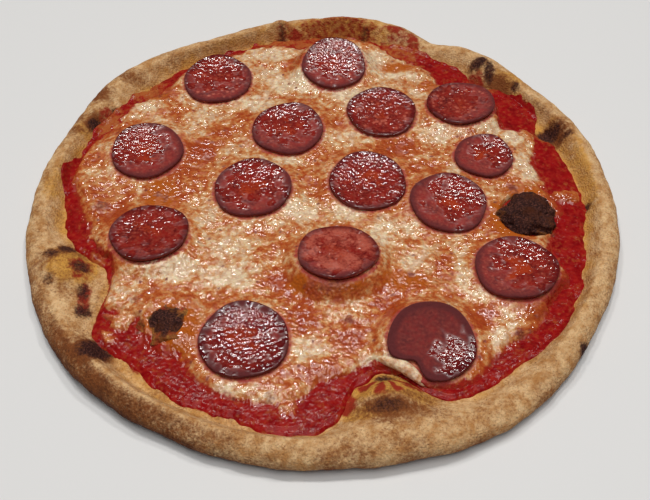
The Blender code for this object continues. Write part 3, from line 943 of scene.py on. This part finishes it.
# %% [markdown]
# ## Melted cheese
# Melted cheese is a thick, lumpy skin, cream where it is deep, orange where its oil and the sauce come
# through, and red where it is thin. Small round lumps give it hundreds of tiny highlights. It is a round
# grid, so that the lumps are equally fine all over, and like the sauce it ends where it dips under the
# layer below. Beside each slice it is held up to the slice's bed, and it creeps a little up the edge.

# %% Cheese material
# From where the sauce shines through to where the cheese is deepest.
CHEESE_TONES = (
    (0.0, seen(166, 62, 22)),
    (0.25, seen(192, 100, 46)),
    (0.5, seen(208, 136, 80)),
    (0.75, seen(224, 174, 122)),
    (1.0, seen(242, 220, 184)),
)
# The gaps between the curds are darker: partly browner oil lying in them, partly painted shade.
CHEESE_GAP_TONE_AND_SHADE = seen(160, 66, 32)
GAP_SHADE_DEPTH = 0.35  # how strongly the gaps between its curds show
CHEESE_LAYERS = (
    ("oil", seen(184, 92, 22), 3.0, 1.0, 0.35),
    ("thin", seen(158, 34, 22), 2.0, 1.4, 0.3),
    # toasted brown, also used for one spot of painted shade
    ("brown", seen(124, 40, 10), 1.4, 1.4, 0.4),
)


def make_cheese_material():
    made, tree, shader = new_material("soft_cheese", 0.15, shine=0.7, soft_light=0.2, reach=(2.0, 1.0, 0.5))
    curds = ragged(tree, mask(tree, "rich"), size=3.0, raggedness=1.6, softness=0.7, fine=0.5)
    grains = ragged(tree, curds, size=1.0, raggedness=0.7, softness=0.6)
    # The gap mask lays painted shade and a browner tone between the curds.
    gap_shade = ragged(tree, group(tree, SKIN, Size=2.2)["Gaps"], size=1.3, raggedness=1.0, softness=0.2)
    gap_shade = work_out(tree, "MULTIPLY", gap_shade, GAP_SHADE_DEPTH)
    colour = blend(tree, gap_shade, ramp(tree, grains, CHEESE_TONES), CHEESE_GAP_TONE_AND_SHADE)
    tree.links.new(lay(tree, colour, CHEESE_LAYERS), shader.inputs["Base Color"])
    add_wetness(tree, shader, wet=0.12, dry=0.9)
    add_skin(tree, shader, size=1.6, pits=-0.2, depth=0.55)
    return made


CHEESE = make_cheese_material()

# %% Marks of the cheese
# Pools of thick cream-coloured cheese: x, y, half length, half width, strength.
CREAM_POOLS = (
    (-105, 77, 9, 6, 0.8), (-95, 62, 12, 6, 0.5), (-72, 62, 10, 14, 0.7), (-30, 125, 12, 7, 0.8),
    (-22, 95, 12, 10, 0.8), (-38, 78, 12, 6, 0.8), (-52, 38, 8, 5, 0.8), (-25, 28, 12, 4, 0.9),
    (-122, 38, 8, 8, 0.7), (-88, 54, 8, 6, 0.6), (-123, 16, 7, 9, 0.7), (32, 117, 6, 9, 0.8),
    (50, 104, 13, 4, 0.8), (15, 86, 12, 5, 0.9), (12, 46, 14, 7, 0.7), (66, 48, 9, 9, 0.9),
    (97, 55, 10, 5, 0.9), (110, 48, 5, 8, 0.9), (115, 27, 8, 14, 0.9), (73, 20, 4, 7, 0.8),
    (-60, -14, 8, 8, 0.8), (-50, -30, 16, 12, 0.8), (-75, -50, 14, 8, 1.0), (-48, -53, 16, 8, 1.0),
    (-25, -16, 10, 6, 0.8), (-12, -8, 12, 9, 1.0), (-103, -62, 13, 7, 0.8), (-5, -97, 8, 8, 0.8),
    (-48, -122, 9, 4, 0.8), (-28, -122, 8, 5, 0.7), (-96, -86, 4, 9, 0.7), (15, -12, 10, 6, 0.9),
    (35, -24, 13, 10, 1.0), (48, -42, 14, 9, 0.9), (71, -48, 4, 16, 0.9), (80, -66, 8, 6, 0.8),
    (95, -80, 9, 5, 0.7), (8, -80, 10, 10, 0.5), (22, -107, 12, 5, 0.9), (84, -92, 8, 7, 0.5),
    (36, -104, 5, 7, 1.0),
)
# Places where oil and sauce have turned the cheese orange, as above.
ORANGE_PLACES = (
    (-60, 54, 9, 7, 0.9), (-68, 36, 7, 11, 1.0), (-45, 66, 9, 5, 0.8), (-17, 112, 8, 8, 0.8),
    (-15, 80, 8, 8, 0.6), (-98, 88, 9, 7, 0.9), (-88, 70, 11, 6, 0.5), (-75, 22, 10, 8, 0.7),
    (20, 99, 18, 5, 0.7), (64, 93, 7, 5, 0.9), (5, 66, 9, 10, 0.8), (4, -64, 14, 6, 0.9),
    (46, 38, 13, 8, 0.9), (56, 24, 9, 7, 0.7), (-20, -60, 10, 9, 0.9), (-42, -24, 10, 6, 0.5),
    (-5, -78, 12, 8, 0.6), (0, -108, 9, 6, 0.8), (42, -60, 14, 8, 0.8), (32, -75, 9, 9, 0.9),
    (14, -90, 6, 9, 0.8), (78, -77, 8, 8, 0.8), (103, -79, 10, 7, 0.8), (125, -56, 7, 6, 0.8),
    (60, -45, 6, 10, 0.5), (-110, -8, 9, 8, 0.8), (128, 0, 8, 8, 0.8),
)
# Places where the sauce lies bare or nearly bare, as above.
BARE_PLACES = (
    (-121, -32, 3, 3, 0.9), (-112, 87, 5, 5, 0.9), (-126, 68, 4, 5, 0.7), (-99, 103, 5, 6, 1.0),
    (-89, 112, 7, 3.5, 1.0), (-46, 136, 9, 3, 0.8), (-52, 48, 4, 3, 0.5), (84, 106, 6, 6, 0.9),
    (70, 118, 7, 6, 0.8), (76, 99, 4, 3.5, 0.7), (44, -119, 8, 2.5, 1.0), (18, -114, 10, 2.5, 1.0),
    (-90, -86, 3.5, 9, 0.9), (-98, -75, 11, 2.5, 0.8), (-107, -81, 5, 3, 0.5), (-111, -48, 3, 7, 0.8),
)
# Tongues of cheese that run out over the sauce towards the rim, as above.
CHEESE_TONGUES = (
    (44, 116, 12, 7, 1.0), (118, 48, 5, 9, 1.0), (-104, -90, 6, 5, 0.8), (-15, -129, 5, 5, 0.8),
    (133, 3, 9, 5, 1.1), (-120, -27, 4, 4, 0.8),
)
# Pools of amber oil, as above.
OIL_POOLS = (
    (42, -57, 13, 6, 0.8), (-72, -88, 15, 18, 0.85), (-12, -61, 6, 5, 0.8), (12, -62, 10, 6, 0.8),
    (45, 112, 12, 5, 0.7), (-88, 3, 9, 10, 1.0), (95, -14, 5, 12, 1.0), (103, -25, 8, 4, 0.9),
    (109, 5, 11, 4, 0.9), (-100, 86, 7, 5, 0.7), (64, 93, 6, 4, 0.6), (-110, 95, 6, 5, 0.7),
)
# Small toasted spots, as above. The last, under the raised front edge of slice 12, is painted shade.
TOASTED_SPOTS_AND_SHADE = (
    (104, 7, 3, 3, 1.0), (45, -53, 1.8, 1.8, 0.9), (95, -89, 3, 2.5, 0.9), (-60, 127, 5, 2, 0.7),
    (-89, 2, 4, 1.5, 0.7), (-85, 0, 1.5, 4, 0.7), (-119, -6, 4, 4, 0.8), (-99, 86, 3, 2, 0.9),
    (-109, 91, 3, 2, 0.7), (13, -81, 2.5, 2.5, 1.0), (-65, 31, 3, 3, 0.5), (30, -14, 2, 2, 0.6),
    (-92, -69, 3, 2.5, 0.6), (-65, -113, 3, 2, 0.7), (-59, -116, 2, 3, 0.6), (-24, -124, 2.5, 3, 0.7),
    (92, 16, 3, 2, 0.7), (68, 90, 3, 2, 0.6), (83, -103, 4, 3, 0.5), (128, 33, 4, 7, 0.6),
    # the last spot below is painted shade under the raised front edge of slice 12
    (60, -72, 4, 1.5, 0.5), (5, -65, 9, 3.5, 0.6),
)

print("cream pools:", len(CREAM_POOLS), "orange places:", len(ORANGE_PLACES), "toasted:", len(TOASTED_SPOTS_AND_SHADE))

# %% Cheese
CHEESE_ACROSS = 300  # squares across its grid
CHEESE_DIP = 1.1  # how far below the sauce its edge ends
CHEESE_SPREAD = 1  # how far past the edge of the sauce its hidden edge goes
CHEESE_HEM = 1.5  # how much of that edge lies hidden
CHEESE_SLOPE = 7  # how wide its thinning edge is
CHEESE_EDGE_LUMPS = ((2.2, 14, 21), (2.0, 5, 22))  # depth and size in mm, seed
CHEESE_LUMPS = ((0.9, 15, 25), (0.5, 6, 26))
CREEP = 1.3  # how high the cheese creeps up a slice


def cheese_cover(points, angle):
    """How well the cheese covers each point: 1 and more where it is full, below 0 where it ends."""
    radius = np.hypot(points[:, 0], points[:, 1])
    edge = cheese_radius(angle) + swell(angle, CHEESE_SHORE) + layered(points, CHEESE_EDGE_LUMPS)
    cover = (edge - radius) / CHEESE_SLOPE
    cover = np.maximum(cover, 0.9 * spots(points, CHEESE_TONGUES, soft=1.1) - 0.3)
    cover = np.minimum(cover, (sauce_radius(angle) + CHEESE_SPREAD - CHEESE_HEM - radius) / 3.5)
    return cover - 2.2 * spots(points, BARE_PLACES, soft=0.9, ragged=0.35, size=4)


def cheese_height(points, angle, cover):
    """Height of the cheese, dipping under the sauce where it ends."""
    thick = CHEESE_THICKNESS * ease(cover) - CHEESE_DIP * ease(-cover * 3)
    round_lumps, _ = cells(points, 4.2, 23)
    small_lumps, _ = cells(points, 2.1, 24)
    relief = layered(points, CHEESE_LUMPS) + 0.8 * (0.55 - round_lumps) + 0.25 * (0.5 - small_lumps)
    height = sauce_top(points, angle) + thick + relief * ease(cover + 0.3)
    for _, x, y, half_x, half_y, *_, drawn_up, free in BLISTERS:
        share = np.hypot((points[:, 0] - x) / half_x, (points[:, 1] - y) / half_y)
        height += drawn_up * ease((1.6 - share) / 0.9) - 5 * ease((free - share) / 0.12)
    near = [beds(points, spec) for spec in SLICES]
    for bed, past in near:
        held = 1 - (1 - ease(cover + 0.6)) * ease(past / 3)
        height += held * (1 - ease(past / BED_MARGIN)) * np.maximum(0, bed - height)
    for bed, past in near:
        creep = CREEP * ease((past + 0.6) / 1.6)
        height = np.where(past < 2.5, np.minimum(height, bed + creep), height)
    return height


def cheese_marks(points, cover):
    """How rich, thin, oily, toasted (one spot painted shade) and dry each point is."""
    pools = spots(points, CREAM_POOLS, soft=1.2, ragged=0.4, size=6)
    orange_places = spots(points, ORANGE_PLACES, soft=1.2, ragged=0.4, size=5)
    towards_back = 0.22 * ease((points[:, 1] - 30) / 60) - 0.1 * ease((-60 - points[:, 0]) / 40)
    mottle = layered(points, ((0.28, 14, 28), (0.16, 5, 29)))
    rich = 0.44 + towards_back + 0.5 * pools - 0.42 * orange_places + mottle
    past_slices = np.min([beds(points, spec)[1] for spec in SLICES], axis=0)
    thin = ease((0.7 - cover) / 0.7) * 0.85 + 0.2 * lumps(points, 9, 30)
    thin = np.maximum(thin, 0.6 * ease((2.8 - past_slices) / 2.4))
    oil = spots(points, OIL_POOLS, soft=1.0) + 0.12 * lumps(points, 10, 31)
    dots, owner = cells(points, 9, 32)
    speckles = np.where(owner > 0.8, ease((0.14 - dots) / 0.06), 0)
    # brown: toasted spots and speckles, and one spot of painted shade under slice 12.
    brown = np.maximum(0.85 * spots(points, TOASTED_SPOTS_AND_SHADE, soft=1.6, ragged=0.6, size=2), 0.7 * speckles)
    dry = ease(-0.3 + layered(points, ((1.4, 11, 37), (0.9, 4, 38))))
    dry = np.max([dry, brown, 0.8 * ease((2.5 - past_slices) / 2)], axis=0)
    return {"rich": rich, "thin": thin, "oil": oil, "brown": brown, "dry": dry}


def make_cheese():
    mesh, share, angle, level = disc_shell(CHEESE_ACROSS, 1)
    points = round_place(share * (sauce_radius(angle) + CHEESE_SPREAD), angle, np.zeros(len(share)))
    cover = cheese_cover(points, angle)
    points[:, 2] = cheese_height(points, angle, cover) - np.where(level == 1, 0.6, 0)
    points[level == 2] = (0, 0, FLOOR_TOP + SAUCE_THICKNESS)
    finish_piece("cheese_skin", mesh, points, cheese_marks(points, cover), CHEESE, "cheese")


make_cheese()

# %% [markdown]
# ## A strand of cheese
# Beside the folded slice a thick, smooth strand of cheese has run down and set. A tube along a curve would
# end bluntly. So it is one long ball, bent along a smooth path through five places, and it tapers into the
# layer at both ends.

# %% Strand
STRAND_PATH = np.array(
    ((24, -102, 7.2), (31, -104.6, 8.8), (37, -108, 9.4), (42.5, -112.2, 9.2), (47.5, -117.5, 7.0))
)
STRAND_HALF_WIDTH = 3.2
STRAND_HALF_HEIGHT = 2.7


def make_strand():
    mesh, way = fine_ball("strand", subdivisions=5)
    along = (way[:, 0] + 1) / 2 * (len(STRAND_PATH) - 1)
    curves = [np.polyfit(np.arange(len(STRAND_PATH)), column, 2) for column in STRAND_PATH.T]
    middle = np.stack([np.polyval(curve, along) for curve in curves], axis=1)
    runs = np.stack([np.polyval(np.polyder(curve), along) for curve in curves], axis=1)
    runs /= np.linalg.norm(runs[:, :2], axis=1)[:, None]
    across = np.stack([-runs[:, 1], runs[:, 0], np.zeros(len(runs))], axis=1)
    points = middle + across * (STRAND_HALF_WIDTH * way[:, 1:2])
    points[:, 2] += STRAND_HALF_HEIGHT * way[:, 2]
    points[:, 2] += 0.3 * lumps(points, 6, 39)
    masks = {label: np.full(len(points), -1.0) for label in ("thin", "oil", "brown")}
    masks["rich"] = 0.95 + 0.2 * lumps(points, 5, 40)
    masks["dry"] = np.full(len(points), 0.5)
    finish_piece("cheese_strand", mesh, points, masks, CHEESE)


make_strand()

# %% [markdown]
# ## Slices of cured sausage
# A slice is a thin disc of ground meat and fat. Heat draws its edge up, darkens its rim, and fills its face
# with oil that lies in the grain of the meat. One slice copied fifteen times would show at once. So each is
# a round grid laid on its own plane, with a grain of round cells, and no two have the same warp or oil.

# %% Sausage material
MEAT_RED = seen(148, 27, 18)
MEAT_DARK = seen(90, 10, 14)
MEAT_LAYERS = (
    (0.4, MEAT_DARK, 5.0, 2.0, 0.5, 0.45),
    (0.36, seen(150, 56, 42), 1.5, 2.4, 0.5, 0.45),
    # pale pink fat, also laid over some slices as painted sheen
    ("fat_and_sheen", seen(188, 92, 74), 1.2, 1.0, 0.25),
    # orange oil, also laid thinly on every side of a slice as painted light
    ("oil", seen(172, 56, 22), 1.5, 1.0, 0.3),
    ("rim", MEAT_DARK, 2.0, 0.6, 0.5),
)


def make_meat_material():
    made, tree, shader = new_material("cured_meat", 0.26, shine=0.8, soft_light=0.08, reach=(1.5, 0.3, 0.2))
    tree.links.new(lay(tree, MEAT_RED, MEAT_LAYERS), shader.inputs["Base Color"])
    add_wetness(tree, shader, wet=0.1, dry=0.95)
    add_skin(tree, shader, size=1.7, pits=-0.2, depth=0.5)
    return made


MEAT = make_meat_material()

# %% Slices
SLICE_ACROSS = 84  # squares across its grid
MEAT_GRAIN = 1.9  # spacing of the cells of meat
FAT_SPACING = 3.4
UNDERCUT = 0.35  # how far in the foot of a slice's side is
DISH = 1.0  # how much lower than its edge the middle of a slice lies
# The finish of each slice: the middle of its wettest place, across and up as shares of its radius, and how
# far that place reaches; then how oily its middle is, and how strong a pale pink painted sheen lies on it,
# or below 0 how dark it is.
FINISHES = (
    (-0.2, 0.5, 0.9, 0.3, 0.2),
    (0.1, 0.3, 0.9, 0.5, 0.15),
    (-0.1, 0.4, 0.8, 0.5, 0.0),
    (0.0, 0.1, 1.1, 0.5, 0.25),
    (-0.3, 0.0, 0.8, 0.4, 0.25),
    (-0.3, 0.3, 0.8, 0.6, 0.0),
    (0.0, 0.3, 0.9, 0.6, 0.0),
    (0.0, 0.1, 1.2, 0.7, 0.05),
    (0.3, 0.2, 0.6, 0.6, 0.0),
    (0.3, 0.2, 0.8, 0.8, 0.0),
    (0.0, 0.1, 0.9, 0.5, 0.0),
    (0.2, 0.2, 1.0, 0.4, 0.48),
    (0.4, 0.3, 0.8, 0.8, 0.0),
    (0.0, 0.0, 0.9, 1.2, -0.35),
    (0.55, -0.35, 0.5, 0.3, -0.5),
)


def slice_outline(angle, radius, number):
    uneven_edge = 0.4 * np.cos(3 * angle + number) + 0.3 * np.cos(5 * angle - 2 * number)
    if number == FOLDED_SLICE:
        uneven_edge = uneven_edge - FOLD_DEPTH * bump(angle, FOLD_ANGLE, FOLD_HALF_WIDTH)
    return radius + uneven_edge


def shape_slice(number, spec):
    """A slice's mesh and points, and for its marks each point's place across it, share, outline and level."""
    x, y, diameter, _, raised_side, _, curl = spec
    mesh, share, angle, level = disc_shell(SLICE_ACROSS, 2)
    outline = slice_outline(angle, diameter / 2, number)
    lifted = curl * bump(angle, raised_side, 100) * share**2
    radius = np.where(level == 3, 0, share * (outline - UNDERCUT * (level == 2)))
    flat = round_place(radius, angle, np.zeros(len(radius)))
    where = flat + (x, y, 0)
    rounding_from = 1 - SLICE_ROUNDING / (diameter / 2)
    over = np.clip((share - rounding_from) / (1 - rounding_from), 0, 1)
    rounding = SLICE_ROUNDING * (1 - np.sqrt(1 - over**2))
    grain, _ = cells(where, MEAT_GRAIN, 40 + number)
    warp = ((0.35, 11, 60 + number), (0.15, 4.5, 80 + number), (0.08, 1.0, 33))
    relief = layered(where, warp) + 0.2 * (0.5 - grain)
    relief = np.minimum(relief - DISH * (1 - share**2) - 0.1, -0.04)
    top = SLICE_THICKNESS + lifted + relief * (1 - over) - rounding
    height = np.select([level == 0, level == 1, level == 2], [top, 0.9 + lifted, lifted + 0.05], 0.0)
    centre, rotation = slice_plane(spec)
    points = np.stack([flat[:, 0], flat[:, 1], height], axis=1) @ rotation.T + centre
    return mesh, points, flat, share, outline, level


def slice_marks(number, spec, finish, flat, share, outline, level):
    """How fatty (with painted sheen on some slices), oily (on its sides as painted light), dark and dry each
    point of a slice is.
    """
    wet_x, wet_y, reach, oily, painted_sheen_or_darkening = finish
    where = flat + (*spec[:2], 0)
    fat_dots, fat_owner = cells(where, FAT_SPACING, 100 + number)
    dots = np.where(fat_owner > 0.6, ease((0.42 - fat_dots) / 0.3), 0)
    from_wet = np.hypot(flat[:, 0] / outline - wet_x, flat[:, 1] / outline - wet_y) / reach
    pool = oily * ease((0.5 - share + 0.35 * lumps(where, 6, 120 + number)) / 0.4)
    dry = ease((from_wet - 0.8 + 0.7 * lumps(where, 5, 140 + number)) / 0.5)
    face = level == 0
    return {
        # Fat dots, plus a pale pink painted sheen on the slices that have one.
        "fat_and_sheen": 0.45 * dots + painted_sheen_or_darkening * (0.9 + lumps(where, 8, 160 + number)),
        # The sides take some oil colour everywhere: painted light, a lighter red on sides the lamps behind
        # leave in shade.
        "oil": np.where(face, pool, 0.3),
        "rim": (0.8 * ease((share - 0.72) / 0.28) - min(painted_sheen_or_darkening, 0)) * face,
        "dry": np.where(face, dry, 1),
    }


for number, (spec, finish) in enumerate(zip(SLICES, FINISHES), 1):
    mesh, points, *places = shape_slice(number, spec)
    masks = slice_marks(number, spec, finish, *places)
    finish_piece(f"slice_{number:02d}", mesh, points, masks, MEAT, f"pepperoni_{number:02d}")
